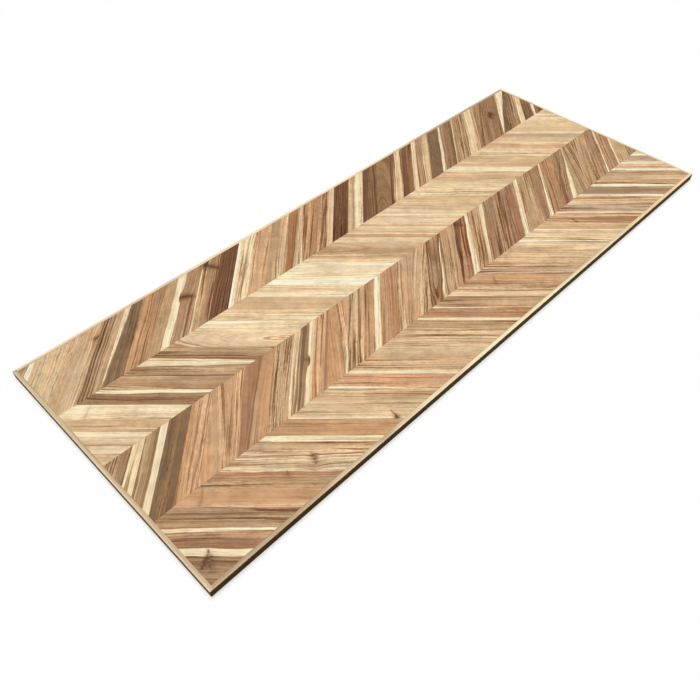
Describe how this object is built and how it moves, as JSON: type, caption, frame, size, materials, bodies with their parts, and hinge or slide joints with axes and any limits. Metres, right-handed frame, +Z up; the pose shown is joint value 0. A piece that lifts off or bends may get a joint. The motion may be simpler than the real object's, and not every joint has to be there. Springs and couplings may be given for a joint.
{
  "type": "chevron parquet panel",
  "caption": "Flat rectangular panel of solid wood staves, mitred and glued into rows of chevron parquet inside a thin lipping, for use as a floor panel or a table or work top.",
  "frame": {"origin": "middle of the panel's underside", "axes": "+X along the panel's length, +Y across it to the back edge, +Z up out of the show face"},
  "size_m": [1.5, 0.6, 0.018],
  "materials": {
    "stave_wood": "planed and oiled, satin, brown heartwood with cream sapwood edges",
    "lipping_wood": "planed and oiled, satin, pale straight grain"
  },
  "bodies": {
    "root": {"row_1_odd_staves": "stave_wood", "row_1_even_staves": "stave_wood", "row_2_odd_staves": "stave_wood", "row_2_even_staves": "stave_wood", "row_3_odd_staves": "stave_wood", "row_3_even_staves": "stave_wood", "row_4_odd_staves": "stave_wood", "row_4_even_staves": "stave_wood", "left_end_lipping": "lipping_wood", "right_end_lipping": "lipping_wood", "front_lipping": "lipping_wood", "back_lipping": "lipping_wood"}
  },
  "joints": []
}
